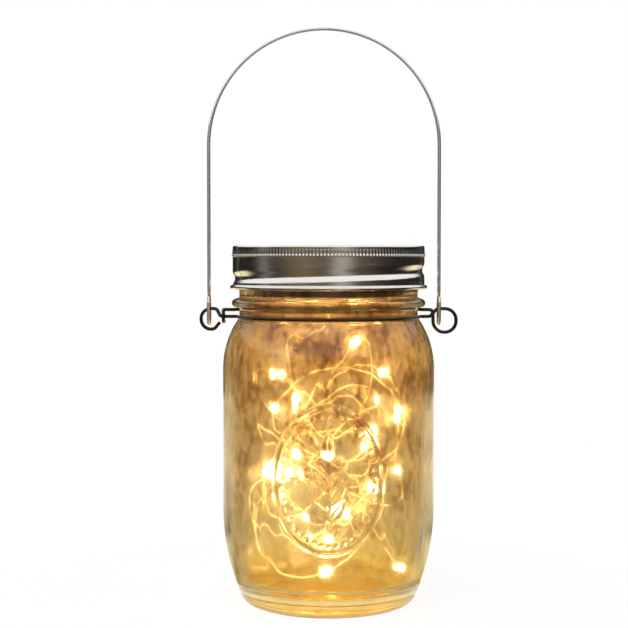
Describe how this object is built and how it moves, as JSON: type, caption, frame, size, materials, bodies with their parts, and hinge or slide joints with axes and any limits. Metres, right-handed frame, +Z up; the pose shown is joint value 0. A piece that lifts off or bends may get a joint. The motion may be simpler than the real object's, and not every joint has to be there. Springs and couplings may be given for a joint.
{
  "type": "mason jar lantern",
  "caption": "Glass screw-top jar lantern: solar lid under a knurled band, warm string lights coiled inside, wire neck hoop and swinging wire bail.",
  "frame": {"origin": "centre of the base's bearing ring, on the surface it stands on", "axes": "+Z up, +X to the right seen from the front, -Y towards the viewer; the bail stands in the XZ plane"},
  "size_m": [0.0972, 0.0794, 0.2157],
  "materials": {
    "clear_glass": "pressed clear glass, warm from the lights",
    "hanger_steel": "bright drawn steel wire",
    "tinplate": "rolled tinplate, satin",
    "gasket_rubber": "soft silicone",
    "black_plastic": "moulded, fine texture",
    "board_backing": "laminate",
    "solar_blue": "dark cells with fine lines",
    "clear_window": "clear resin",
    "board_green": "solder mask",
    "chip_black": "moulded package",
    "ferrite": "sintered",
    "battery_wrap": "shrink sleeve",
    "contact_nickel": "plated sheet",
    "switch_case": "pressed case",
    "switch_knob": "moulded",
    "screw_steel": "plated",
    "copper_wire": "lacquered copper",
    "lit_resin": "clear resin drop, lit warm white"
  },
  "bodies": {
    "jar": {"glass_jar": "clear_glass", "neck_wire": "hanger_steel"},
    "bail": {"bail_handle": "hanger_steel"},
    "lid": {"sealing_gasket": "gasket_rubber", "lid_housing": "black_plastic", "bottom_cover": "black_plastic", "solar_board": "board_backing", "solar_cells": "solar_blue", "panel_window": "clear_window", "circuit_board": "board_green", "driver_chip": "chip_black", "choke": "ferrite", "battery": "battery_wrap", "positive_contact": "contact_nickel", "negative_contact": "contact_nickel", "switch_body": "switch_case", "cover_screws": "screw_steel", "wire_grommet": "gasket_rubber", "light_wire": "copper_wire", "light_beads": "lit_resin"},
    "band": {"screw_band": "tinplate"},
    "switch": {"switch_slider": "switch_knob"}
  },
  "joints": [
    {"name": "bail_swing", "type": "hinge", "parent": "jar", "child": "bail", "pos_m": [0, 0, 0.11041], "axis": [1, 0, 0], "range_deg": [-150, 150]},
    {"name": "lid_lift", "type": "slide", "parent": "jar", "child": "lid", "axis": [0, 0, 1], "range_m": [0, 0.00794]},
    {"name": "band_turn", "type": "hinge", "parent": "lid", "child": "band", "pos_m": [0, 0, 0.126], "axis": [0, 0, 1], "range_deg": [0, 450]},
    {"name": "switch_slide", "type": "slide", "parent": "lid", "child": "switch", "axis": [1, 0, 0], "range_m": [0, 0.002]}
  ],
  "couplings": [
    {"joint": "lid_lift", "follows": "band_turn", "m_per_rad": 0.0010106}
  ]
}
